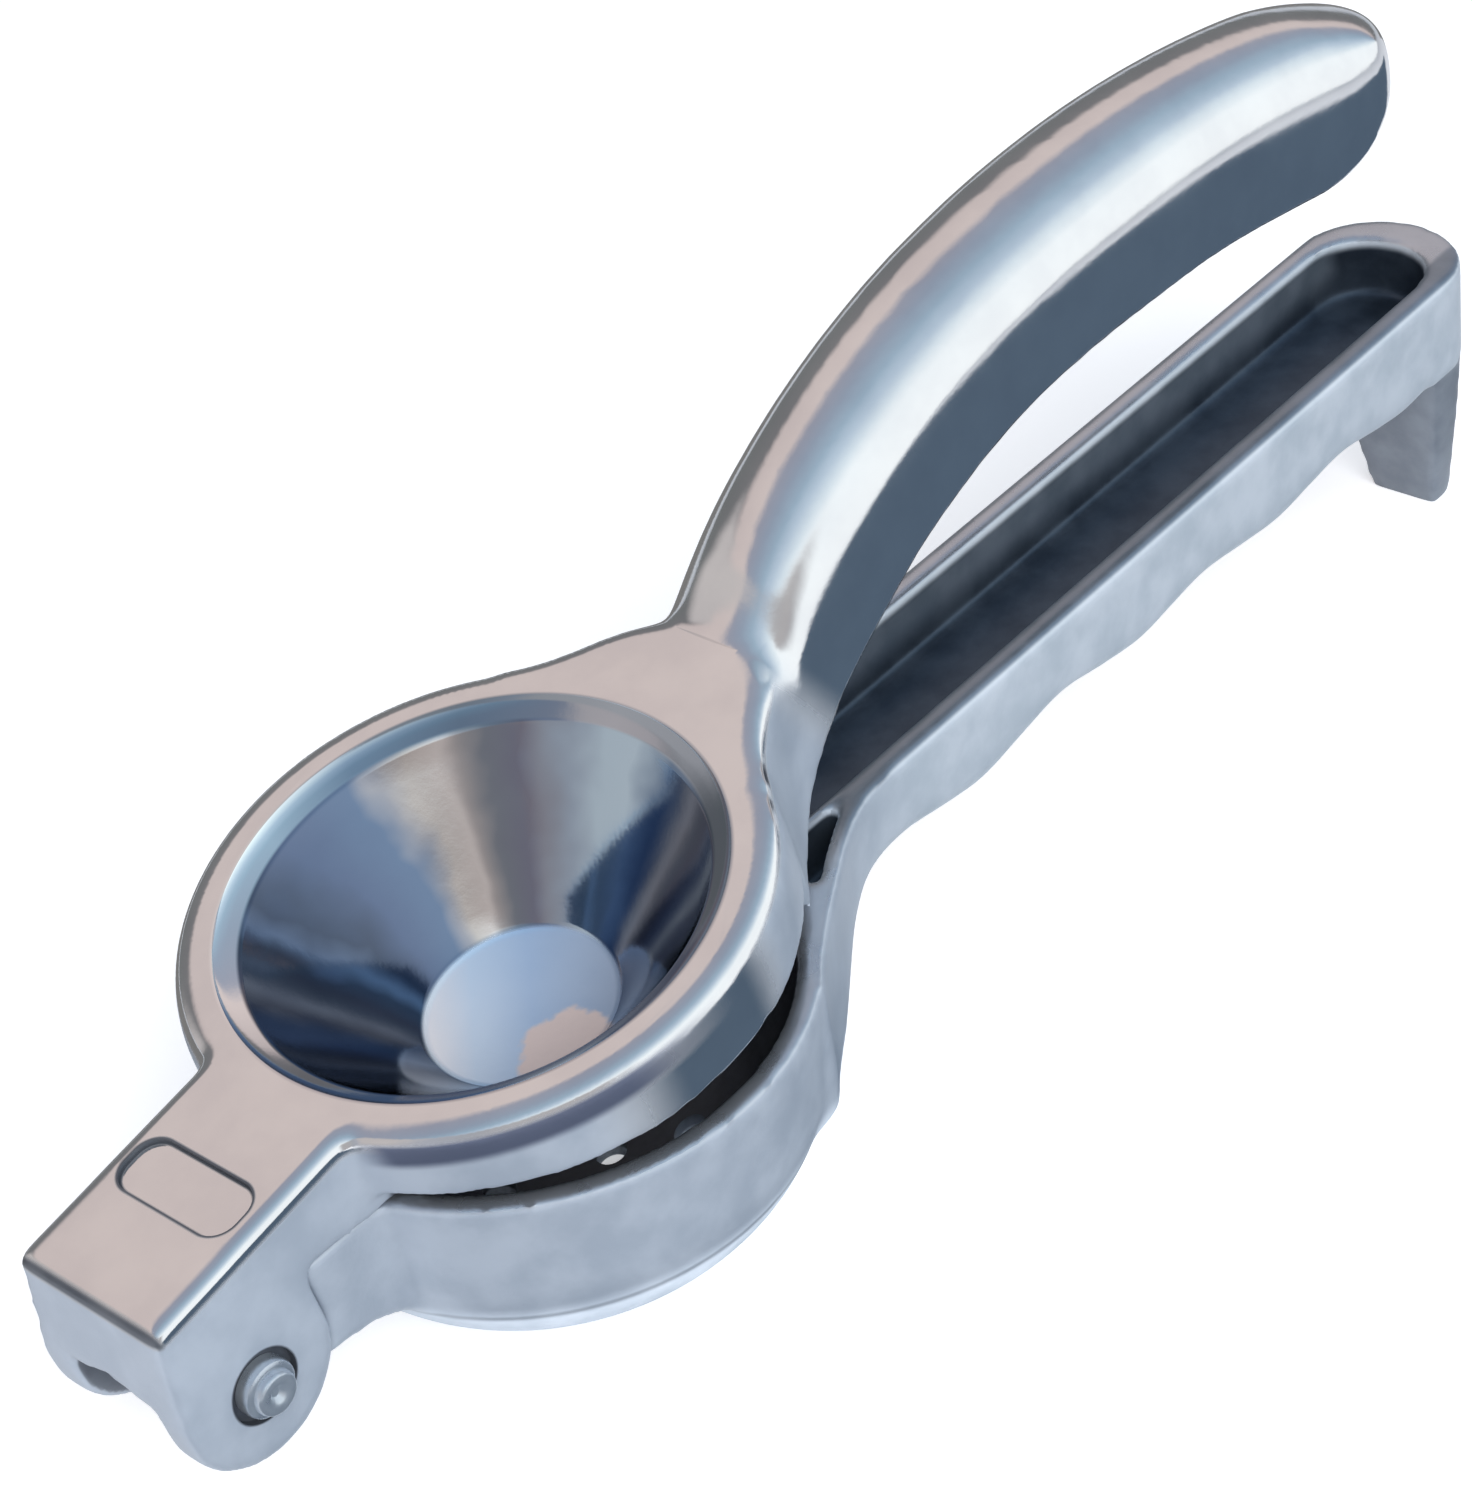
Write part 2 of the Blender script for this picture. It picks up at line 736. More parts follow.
@dataclass
class LowerLever:
    """The lower casting: tongue, arm, bowl, channel handle and foot.

    A table holds distances from the hinge with a height or a half width.
    """

    stance: Stance
    grain: float = 0.56
    rounds: int = 12
    rim: float = 6.9
    bowl_x: float = 46.3
    bowl_r: float = 30.0
    bowl_wall: float = 2.7
    taper: float = 0.6
    side_h: float = 9.4
    corner_r: float = 18.0
    dome_r: float = 37.0
    drain_r: float = 1.8
    drain_pitch: float = 7
    arm_half: float = 9.25
    shoulder_r: float = 9.0
    knuckle_r: float = 6.6
    tongue_half: float = 5.5
    bore_r: float = 2.55
    handle_half: float = 10.6
    handle_start: float = 56.0
    handle_step: float = 2.2
    handle_bar: float = 201.3
    end: float = 211.9
    wall: float = 3.3
    channel_floor: float = -0.9
    channel_start: float = 77.6
    channel_end: float = 206.6
    pocket_floor: float = 0.6
    pocket_wall: float = 2.3
    foot_low: float = -31.3
    foot_top: float = 4
    arm_under: Table = (
        (0, -5.6), (8.8, -4.6), (11, -5.0), (13.4, -5.3), (15.2, -6.0), (17, -7.0), (19.2, -8.6),
        (21.4, -10.6), (24.2, -13.4), (30, -16.0), (40, -16.0))
    foot_side: Table = ((207.0, foot_low), (240, foot_low), (240, 5), (200.6, 5), (201.4, -4))
    foot_front: Table = ((-4.7, foot_low), (4.7, foot_low), (9.2, -4), (10.5, 5), (-10.5, 5), (-9.2, -4))
    sides: Table = (
        (56, 26.0), (62, 25.6), (65.4, 23.1), (68.8, 20.8), (72.2, 18.7), (76.8, 16.0), (80.8, 13.7),
        (85.9, 11.5), (90, 10.7), (94.3, 10.6), (212, 10.6))
    under: Table = (
        (56, -12.4), (68, -12.4), (71, -12.0), (74, -10.2), (78, -6.9), (82, -4.9), (87, -3.6), (93, -3.3),
        (100, -4.5), (107, -5.5), (114, -4.5), (121.5, -3.5), (129, -4.8), (137, -5.9), (143, -5.2),
        (149, -4.6), (157, -5.6), (165, -6.5), (171, -5.9), (178, -5.3), (186, -6.6), (193, -7.5),
        (199, -7.0), (212, -6.6))

    def bowl(self, name: str, inset: float) -> Piece:
        """The bowl's outside, or its hollow, which runs on above the rim.

        Args:
            name: its name.
            inset: how far the surface lies inside the outer one.

        Returns:
            The closed solid.
        """
        over = 12 if inset else 0
        side = self.bowl_r - self.taper
        middle = side - self.corner_r
        lean = math.asin(middle / (self.dome_r - self.corner_r))
        corner_z = self.rim - self.side_h
        dome_z = corner_z + (self.dome_r - self.corner_r) * math.cos(lean)
        turn = math.degrees(lean) - 90
        profile = [(0, self.rim + over), (self.bowl_r - inset, self.rim + over)]
        profile += [(self.bowl_r - inset, self.rim), (side - inset, corner_z)]
        profile += arc((middle, corner_z), self.corner_r - inset, 0, turn, 18)[1:]
        profile += arc((0, dome_z), self.dome_r - inset, turn, -90, 16)[1:]
        return lathe(name, profile, self.bowl_x)

    def arm(self) -> Piece:
        """The arm with the tongue at its end.

        Returns:
            The overlapping solids as one object.
        """
        side = [*self.arm_under, (40, self.rim), (0, self.rim)]
        arm = prism("arm", side, Axis.Y, -self.arm_half, self.arm_half)
        cut(arm, Cut.TAKE, bar("shoulder", self.shoulder_r, 40, ORIGIN, Axis.Y))
        opening = Matrix.Rotation(-math.radians(self.stance.open_angle), 4, "Y")
        cut(arm, Cut.TAKE, block("ahead", (-30, -20, 0), (9.0, 20, 30), opening))
        half = self.tongue_half
        knuckle = bar("knuckle", self.knuckle_r, 2 * half, ORIGIN, Axis.Y)
        tongue = [(0, -7.2), (12, -5.2), (12, self.rim), (0, self.rim)]
        return join("arm", [arm, knuckle, prism("tongue", tongue, Axis.Y, -half, half)])

    def handle(self) -> Piece:
        """The handle as a solid bar with its flared root and wavy underside.

        Returns:
            The bar and its round end as one object.
        """
        half = [(0, -1), (-0.3, -1), (-0.6, -1), (-0.84, -0.985), (-0.94, -0.93), (-1, -0.84), (-1, -0.4)]
        section = [(0, y, z) for z, y in [*half, (-1, 0), *mirrored(half)]]
        stations = [self.handle_start]
        while stations[-1] + self.handle_step < self.handle_bar:
            stations.append(stations[-1] + self.handle_step)
        places = []
        for x in [*stations, self.handle_bar]:
            places.append(((x, 0.0, self.rim), (1.0, along(self.sides, x), self.rim - along(self.under, x))))
        straight = loft("handle", section, places)
        low = along(self.under, 206)
        at = (self.end - self.handle_half, 0, (self.rim + low) / 2)
        round_end = bar("round_end", self.handle_half, self.rim - low, at, Axis.Z, 128)
        return join("handle", [straight, round_end])

    def foot(self) -> Piece:
        """The tapered foot under the handle's round end.

        Returns:
            The solid.
        """
        at = (self.end - self.handle_half, 0, (self.foot_top + self.foot_low) / 2)
        foot = bar("foot", self.handle_half, self.foot_top - self.foot_low, at, Axis.Z, 128)
        side = prism("foot_side", self.foot_side, Axis.Y, -20, 20)
        front = prism("foot_front", self.foot_front, Axis.X, 190, 230)
        return cut(foot, Cut.KEEP, side, front)

    def pockets(self) -> list[Piece]:
        """The channel of the handle and the two pockets beside its root.

        Returns:
            The solids that are cut out.
        """
        half = self.handle_half - self.wall
        start, end = self.channel_start, self.channel_end - half
        plan = [(start, -half), (end, -half), *arc((end, 0), half, -90, 90, 20), (end, half), (start, half)]
        plan += [(78.2, 4), (78.6, 0), (78.2, -4)]
        tools = [prism("channel", plan, Axis.Z, self.channel_floor, 20)]
        edge = [(x, along(self.sides, x) - self.pocket_wall) for x in (73.5, 76, 79, 82, 85, 88)]
        edge += [(90.5, 8.5), (78.0, 8.5), (76.6, 10), (74.6, 13)]
        for side in SIDES:
            plan = [(x, side * y) for x, y in edge]
            tools.append(prism("pocket", plan, Axis.Z, self.pocket_floor, 20))
        return tools

    def drains(self) -> Piece:
        """The drain holes: one in the middle and two rings round it.

        Returns:
            The bars that are cut out, as one object.
        """
        holes = []
        for ring, count in enumerate((1, 6, 12)):
            for k in range(count):
                a = 2 * math.pi * (k + 1) / count
                out = self.drain_pitch * ring
                at = (self.bowl_x + out * math.cos(a), out * math.sin(a), -20)
                holes.append(bar("drain", self.drain_r, 16, at, Axis.Z, 32))
        return join("drains", holes)

    def build(self) -> Piece:
        """Model the casting.

        Returns:
            The piece in its place, level where it stands on the table.
        """
        solids = [self.bowl("bowl", 0), self.arm(), self.handle(), self.foot()]
        body = cast(join("lower_lever_casting", solids), self.grain)
        trim = block("trim", (-20, -50, self.rim), (230, 50, 60))
        cut(body, Cut.TAKE, trim, self.bowl("hollow", self.bowl_wall), *self.pockets())
        cast(body, self.grain, self.rounds)
        bore = bar("bore", self.bore_r, 30, ORIGIN, Axis.Y, 48)
        cut(body, Cut.TAKE, self.drains(), bore)
        settle(body, self.stance.lower)
        return cut(body, Cut.TAKE, block("table", (-1, -1, -1), (1, 1, 0)))


@dataclass
class HingePin:
    """The pin: a shank with a stepped head at each end.

    The table holds radii, each with how far it stands proud of the ear.
    """

    stance: Stance
    ear: float = 10.5
    head: Table = (
        (0, 1.2), (0.45, 1.24), (0.8, 1.6), (1.2, 1.86), (1.9, 1.86), (2.1, 1.75), (2.25, 1.45), (2.3, 0.95),
        (2.6, 0.9), (2.85, 0.7), (2.95, 0.35), (2.95, -0.8), (2.5, -0.8))

    def build(self) -> Piece:
        """Model the pin upright and lay it across the levers.

        Returns:
            The piece in its place.
        """
        profile = [(r, self.ear + proud) for r, proud in self.head]
        pin = lathe("hinge_pin_turned", profile + mirrored(profile), sides=96)
        settle(pin, Matrix.Rotation(math.radians(90), 4, "X"))
        return settle(pin, self.stance.lower)


# ------------------------------------------------------------ the finishes


class Value:
    """A number that varies over a surface, written as a Python expression."""

    def __init__(self, nodes: "Nodes", socket: bpy.types.NodeSocket) -> None:
        """Wrap an output socket."""
        self.nodes = nodes
        self.socket = socket

    def _math(self, kind: str, a: object, b: object = 0.0) -> "Value":
        """One Math node on two numbers or sockets."""
        return self.nodes.node("ShaderNodeMath", {"operation": kind}, {0: a, 1: b})

    def __add__(self, other: object) -> "Value":
        """Sum."""
        return self._math("ADD", self, other)

    def __mul__(self, other: object) -> "Value":
        """Product."""
        return self._math("MULTIPLY", self, other)

    __radd__ = __add__
    __rmul__ = __mul__

    def __sub__(self, other: object) -> "Value":
        """Difference."""
        return self._math("SUBTRACT", self, other)

    def __rsub__(self, other: object) -> "Value":
        """Difference, the other way round."""
        return self._math("SUBTRACT", other, self)

    def __truediv__(self, other: object) -> "Value":
        """Quotient."""
        return self._math("DIVIDE", self, other)

    def absolute(self) -> "Value":
        """The value without its sign."""
        return self._math("ABSOLUTE", self)

    def most(self, other: object) -> "Value":
        """The greater of two values."""
        return self._math("MAXIMUM", self, other)

    def far(self, other: "Value") -> "Value":
        """The long side of a right triangle with these two sides."""
        return self._math("SQRT", self * self + other * other)

    def angle(self, other: "Value") -> "Value":
        """The angle of a right triangle with these two sides, in degrees."""
        return self._math("ARCTAN2", self, other) * (180 / math.pi)

    def fade(self, span: Fade) -> "Value":
        """How far the value has gone from one limit to the other.

        Args:
            span: the two limits, in either order.

        Returns:
            Nought at the first limit and before it, one at the other and past it.
        """
        settings = {"clamp": True, "interpolation_type": "SMOOTHSTEP"}
        inputs = {"Value": self, "From Min": span[0], "From Max": span[1]}
        return self.nodes.node("ShaderNodeMapRange", settings, inputs)


class Nodes:
    """A node tree being written."""

    def __init__(self, tree: bpy.types.NodeTree, surface: bpy.types.Node) -> None:
        """Start from a tree and the shader at its end."""
        self.tree = tree
        self.surface = surface

    def link(self, socket: bpy.types.NodeSocket, value: object) -> None:
        """Set a socket to a number or a colour, or link it to a Value.

        Args:
            socket: the input socket.
            value: what it takes.
        """
        if isinstance(value, Value):
            self.tree.links.new(value.socket, socket)
        else:
            socket.default_value = value

    def feed(self, socket: str, value: object) -> None:
        """Set or link one of the surface's sockets."""
        self.link(self.surface.inputs[socket], value)

    def node(self, kind: str, settings: dict, inputs: dict, output: object = 0) -> Value:
        """Add a node.

        Args:
            kind: the node's type.
            settings: its own settings, set first.
            inputs: for each input socket, a number, a colour or a Value.
            output: the name or place of the output that is used.

        Returns:
            That output.
        """
        node = self.tree.nodes.new(kind)
        for key, value in settings.items():
            setattr(node, key, value)
        for key, value in inputs.items():
            self.link(node.inputs[key], value)
        return Value(self, node.outputs[output])

    def split(self, vector: Value) -> list[Value]:
        """The three parts of a vector."""
        first = self.node("ShaderNodeSeparateXYZ", {}, {0: vector})
        return [Value(self, socket) for socket in first.socket.node.outputs]

    def mix(self, factor: Value, a: Value | Point3, b: Value | Point3) -> Value:
        """Two colours mixed.

        Args:
            factor: how much of the second there is.
            a: the first colour.
            b: the second colour.

        Returns:
            The mixed colour.
        """
        a, b = (colour if isinstance(colour, Value) else (*colour, 1) for colour in (a, b))
        return self.node("ShaderNodeMix", {"data_type": "RGBA"}, {"Factor": factor, 6: a, 7: b}, 2)

    def dial(self, value: Value, low: float, high: float, stops: Stops) -> Value:
        """A colour read off stops laid out between two limits.

        Args:
            value: where it is read.
            low: the first limit.
            high: the last limit.
            stops: for each stop its place and its colour.

        Returns:
            The colour.
        """
        ramp = self.node("ShaderNodeValToRGB", {}, {0: (value - low) / (high - low)})
        elements = ramp.socket.node.color_ramp.elements
        while len(elements) < len(stops):
            elements.new(0.5)
        for element, (at, tone) in zip(elements, stops):
            element.position = (at - low) / (high - low)
            element.color = (*tone, 1)
        return ramp

    def place(self) -> Value:
        """The surface's own coordinates."""
        return self.node("ShaderNodeTexCoord", {}, {}, "Object")

    def noise(self, scale: float, detail: float, rough: float = 0.55) -> Value:
        """Cloudy noise over the surface.

        Args:
            scale: its features per metre.
            detail: how many finer layers it has.
            rough: how strong they are.

        Returns:
            The noise, from nought to one.
        """
        inputs = {"Vector": self.place(), "Scale": scale, "Detail": detail, "Roughness": rough}
        return self.node("ShaderNodeTexNoise", {}, inputs, "Fac")

    def stray(self, scale: float, reach: float) -> Value:
        """Noise to either side of nought, for an edge that wavers."""
        return (self.noise(scale, 3.0) - 0.5) * reach


class Paint(Nodes):
    """A material being written."""

    def __init__(self, name: str, glow: bool = False) -> None:
        """Start a material with its surface shader.

        Args:
            name: its name.
            glow: whether it only glows.
        """
        self.material = bpy.data.materials.new(name)
        self.material.use_nodes = True
        tree = self.material.node_tree
        tree.nodes.clear()
        super().__init__(tree, tree.nodes.new("ShaderNodeEmission" if glow else "ShaderNodeBsdfPrincipled"))
        out = tree.nodes.new("ShaderNodeOutputMaterial")
        tree.links.new(self.surface.outputs[0], out.inputs["Surface"])


@dataclass(frozen=True)
class Tone:
    """One quality of a metal's skin: its lighter and darker colour and its gloss."""

    light: Point3
    dark: Point3
    metallic: float
    rough: float

    def colour(self, p: Nodes, cloud: Value) -> Value:
        """Its colour, clouded between its two tones."""
        return p.mix(cloud, self.dark, self.light)


POLISHED = Tone((0.92, 0.915, 0.91), (0.85, 0.845, 0.85), 1.0, 0.11)
MIRROR = Tone((0.90, 0.93, 0.96), (0.84, 0.88, 0.92), 1.0, 0.10)
DISC = Tone((0.66, 0.76, 0.90), (0.58, 0.69, 0.84), 0.6, 0.33)
UNDER = Tone((0.22, 0.24, 0.27), (0.14, 0.15, 0.18), 0.7, 0.45)
LINE = Tone((0.16, 0.17, 0.19), (0.10, 0.11, 0.13), 0.6, 0.4)
SATIN = Tone((0.62, 0.67, 0.73), (0.51, 0.57, 0.63), 0.35, 0.42)
RIM = Tone((0.62, 0.65, 0.70), (0.52, 0.56, 0.62), 0.85, 0.28)
NEAR_RIM = Tone((0.34, 0.38, 0.44), (0.26, 0.30, 0.35), 0.8, 0.34)
DARK = Tone((0.10, 0.13, 0.17), (0.05, 0.07, 0.10), 0.8, 0.4)
FAR_WALL = Tone((0.30, 0.35, 0.42), (0.22, 0.27, 0.33), 0.7, 0.4)
DULL = Tone((0.48, 0.53, 0.60), (0.39, 0.44, 0.51), 0.35, 0.42)
DOME = Tone((0.74, 0.80, 0.88), (0.62, 0.69, 0.77), 0.0, 0.6)
FOOT = Tone((0.29, 0.32, 0.365), (0.20, 0.225, 0.265), 0.4, 0.45)
STEEL = Tone((0.62, 0.67, 0.72), (0.50, 0.55, 0.61), 0.8, 0.3)

@dataclass(frozen=True)
class Patch:
    """A quality, where it lies, and a colour of its own if it has one."""

    tone: Tone
    mask: Value
    colour: Value | None = None


@dataclass(frozen=True)
class Casting:
    """A metal with one quality all over, and others laid out by place.

    The cloud and the grain have so many features per metre, and the bump is a
    depth in metres.
    """

    name: str
    skin: Tone
    cloud: float
    grain: float
    bump: float
    cloud_span: Fade = (0.3, 0.7)
    gloss_least: float = 0.85
    gloss_swing: float = 0.3

    def patches(self, p: Paint) -> list[Patch]:
        """The other qualities, in the order in which they are painted."""
        return []

    def paint(self) -> bpy.types.Material:
        """Write the finish as a material.

        Returns:
            The material.
        """
        p = Paint(self.name)
        cloud = p.noise(self.cloud, 4.0).fade(self.cloud_span)
        grain = p.noise(self.grain, 5.0, 0.65)
        colour = self.skin.colour(p, cloud)
        metallic: Value | float = self.skin.metallic
        rough: Value | float = self.skin.rough
        for patch in self.patches(p):
            rest = 1 - patch.mask
            colour = p.mix(patch.mask, colour, patch.colour or patch.tone.colour(p, cloud))
            metallic = rest * metallic + patch.tone.metallic * patch.mask
            rough = rest * rough + patch.tone.rough * patch.mask
        p.feed("Base Color", colour)
        p.feed("Metallic", metallic)
        p.feed("Roughness", rough * (self.gloss_least + self.gloss_swing * cloud))
        relief = {"Strength": 0.5, "Distance": self.bump, "Height": grain * rough}
        p.feed("Normal", p.node("ShaderNodeBump", {}, relief, "Normal"))
        return p.material


@dataclass(frozen=True)
class Spot:
    """Where a point of a lever's skin lies, in millimetres in the lever's frame.

    It is measured from the hinge along, across and up the lever, across it
    without the sign, from the upright axis of the bowl or the cup along the
    lever and any way, and any way from the hinge's axis.
    """

    x: Value
    y: Value
    z: Value
    width: Value
    along: Value
    away: Value
    turned: Value

    def within(self, **spans: Fade) -> Value:
        """Where every named measure lies in its span.

        Args:
            **spans: for each measure, where the region begins and where it is whole.

        Returns:
            One in the region, nought outside it, and between the two at its edge.
        """
        return reduce(mul, [getattr(self, name).fade(span) for name, span in spans.items()])


@dataclass(frozen=True, kw_only=True)
class LeverFinish(Casting):
    """A casting's finish, laid out in its lever's frame."""

    stance: Stance
    angle: float

    def spot(self, p: Paint, axis_x: float) -> Spot:
        """The place on the surface in the lever's frame.

        Args:
            p: the material.
            axis_x: where the upright axis of the bowl or the cup stands.

        Returns:
            The place, as measures that regions are bounded with.
        """
        t = math.radians(self.angle)
        x, y, z = p.split(p.place())
        x = (x - self.stance.pin[0]) * MM_PER_M
        y = y * MM_PER_M
        z = (z - self.stance.pin[2]) * MM_PER_M
        x, z = x * math.cos(t) + z * math.sin(t), z * math.cos(t) - x * math.sin(t)
        along_x = x - axis_x
        return Spot(x, y, z, y.absolute(), along_x, along_x.far(y), x.far(z))


@dataclass(frozen=True, kw_only=True)
class UpperFinish(LeverFinish):
    """The upper casting: polished above, satin on its sides and ears.

    The streaks of the cup's wall and the tones of its lip lie round its axis, in
    degrees, and the tones of its floor across it, in millimetres.
    """

    shape: UpperLever
    warm: Point3 = (0.80, 0.70, 0.66)
    warm_at: Point2 = (-2.0, -8.0)
    shade: tuple[Point3, Point3] = ((0.2, 0.22, 0.3), (0.14, 0.16, 0.23))
    floor_tones: Stops = (
        (-10, (0.36, 0.47, 0.62)), (-1, (0.45, 0.62, 0.84)), (5, (0.66, 0.82, 0.98)), (10, (1.0, 1.0, 1.0)))
    streaks: Stops = (
        (-100, (0.16, 0.20, 0.27)), (-82, (0.20, 0.24, 0.31)), (-63, (0.22, 0.31, 0.44)),
        (-52, (0.62, 0.78, 0.90)), (-40, (0.60, 0.76, 0.88)), (-30, (0.42, 0.52, 0.64)),
        (-14, (0.30, 0.29, 0.34)), (-3, (0.33, 0.34, 0.37)), (5, (0.60, 0.55, 0.53)),
        (9, (0.92, 0.83, 0.78)), (20, (0.66, 0.60, 0.56)), (25, (0.40, 0.40, 0.44)),
        (32, (0.17, 0.23, 0.34)), (52, (0.15, 0.19, 0.29)), (66, (0.11, 0.13, 0.18)),
        (74, (0.20, 0.24, 0.33)), (80, (0.10, 0.12, 0.16)), (95, (0.16, 0.18, 0.23)),
        (104, (0.09, 0.10, 0.14)), (120, (0.20, 0.23, 0.30)), (130, (0.08, 0.09, 0.13)),
        (180, (0.12, 0.14, 0.19)))
    lips: Stops = (
        (-180, (0.50, 0.50, 0.53)), (-90, (0.42, 0.46, 0.52)), (-40, (0.52, 0.58, 0.64)),
        (0, (0.34, 0.40, 0.46)), (28, (0.42, 0.50, 0.58)), (55, (0.90, 0.98, 1.0)), (104, (1.0, 1.0, 1.0)),
        (135, (0.62, 0.62, 0.66)), (180, (0.50, 0.50, 0.53)))

    def cup_patches(self, p: Paint, at: Spot) -> list[Patch]:
        """The streaked mirror of the cup: its bright lip, its wall and its floor.

        Args:
            p: the material.
            at: the place on the surface.

        Returns:
            The three qualities, each inside the one before.
        """
        side = (at.y - at.along) * math.sqrt(0.5)
        ahead = (at.y + at.along) * math.sqrt(0.5)
        turn = side.angle(ahead)
        lip = p.dial(turn, -180, 180, self.lips)
        wall = p.dial(turn + p.stray(70, 34), -180, 180, self.streaks)
        cool = p.dial(side, -10, 10, self.floor_tones)
        near = (at.along - self.warm_at[0]).far(at.y - self.warm_at[1]) + p.stray(400, 3)
        floor = p.mix(near.fade((5.6, 4.6)), cool, self.warm)
        inside = at.within(z=(-4.2, -3.6))
        return [
            Patch(MIRROR, at.within(away=(25.9, 25.5)) * inside, lip),
            Patch(MIRROR, at.within(away=(23.7, 23.3)) * inside, wall),
            Patch(DISC, at.within(away=(10.4, 9.9), z=(-2.4, -2.9)) * inside, floor),
        ]

    def badge_line(self, at: Spot) -> Value:
        """The dark line round the badge recess.

        Args:
            at: the place on the surface.

        Returns:
            Where the line runs.
        """
        (x, y), (half_x, half_y), r = self.shape.badge_at, self.shape.badge_half, self.shape.badge_r
        past_x = ((at.x - x).absolute() - (half_x - r)).most(0.0)
        past_y = ((at.y - y).absolute() - (half_y - r)).most(0.0)
        from_edge = (past_x.far(past_y) - r).absolute()
        return from_edge.fade((0.38, 0.10)) * at.within(z=(13.3, 13.6))

    def patches(self, p: Paint) -> list[Patch]:
        """Satin below the round edges and on the ears, a streaked mirror in the cup.

        Args:
            p: the material.

        Returns:
            The qualities in the order in which they are painted.
        """
        at = self.spot(p, self.shape.cup_x)
        before_handle = (at.x + at.z * 0.5).fade((92.5, 84.0))
        polished_side = (at.x + at.y * 0.5).fade((18.0, 27.0)) * at.within(y=(-8.0, -12.0), x=(58.0, 51.0))
        satin = at.within(z=(13.2, 12.4)) * before_handle * (1 - polished_side)
        ring_slope = math.tan(math.radians(self.shape.ring_slope))
        ring_under = at.within(away=(29.0, 28.0), x=(18.0, 19.0))
        ring_under = ring_under * (at.z + at.along * ring_slope).fade((5.4, 4.9))
        slot = at.within(width=(6.1, 5.9), turned=(8.3, 8.0), z=(9.0, 8.0))
        seat = at.within(turned=(4.0, 3.75), width=(8.6, 9.0))
        ring_shade = at.within(z=(13.7, 13.1), y=(-9.5, -11.0), x=(18.0, 20.0))
        ring_shade = ring_shade * at.within(z=(10.6, 11.8), x=(50.0, 36.0))
        front_edge = at.within(x=(-5.3, -5.9), z=(12.4, 13.2), width=(10.0, 9.4))
        return [
            Patch(DULL, satin), Patch(UNDER, ring_under), Patch(UNDER, slot), Patch(LINE, seat),
            *self.cup_patches(p, at),
            Patch(LINE, self.badge_line(at)),
            Patch(DISC, ring_shade, p.mix(ring_shade, *self.shade)),
            Patch(LINE, front_edge),
        ]


@dataclass(frozen=True, kw_only=True)
class LowerFinish(LeverFinish):
    """The lower casting: satin, with a polished rim and a dark channel.

    The round floor of the bowl is told by its distance from a centre at dome_z.
    """

    shape: LowerLever
    dome_z: float = 12.7

    def patches(self, p: Paint) -> list[Patch]:
        """A polished rim, dark skins in the channel, the pockets and the bowl, a dull foot.

        Args:
            p: the material.

        Returns:
            The qualities in the order in which they are painted.
        """
        at = self.spot(p, self.shape.bowl_x)
        rim = at.within(z=(6.3, 6.7))
        channel = at.within(z=(6.2, 5.2), x=(76.5, 77.5), width=(8.0, 7.4))
        channel = channel * at.within(z=(-2.0, -1.4), x=(208.0, 207.0))
        pocket = at.within(width=(7.8, 8.4), z=(6.2, 5.6), x=(72.0, 73.0))
        pocket = pocket * at.within(z=(0.2, 0.5), x=(91.0, 90.0))
        pocket_side = (at.width + at.x * 0.55).fade((57.3, 56.8))
        bowl = at.within(away=(28.3, 27.9), z=(6.8, 6.2))
        bowl = bowl * at.away.far(at.z - self.dome_z).fade((35.9, 35.4))
        foot_back = at.within(x=(209.5, 211.5)) * 0.6
        return [
            Patch(DULL, at.within(x=(100.0, 76.0))),
            Patch(DOME, at.within(z=(-7.0, -10.5), away=(32.0, 31.0))),
            Patch(RIM, rim),
            Patch(NEAR_RIM, rim * at.within(y=(-6.0, -7.0), x=(78.0, 84.0))),
            Patch(DARK, channel),
            Patch(FAR_WALL, channel * at.within(y=(5.8, 7.2), z=(-0.6, 4.0))),
            Patch(DARK, pocket * pocket_side),
            Patch(UNDER, bowl),
            Patch(FOOT, at.within(x=(199.0, 203.0), z=(-5.5, -9.5)) * (1 - foot_back)),
        ]


# -------------------------------------------------------------- the studio


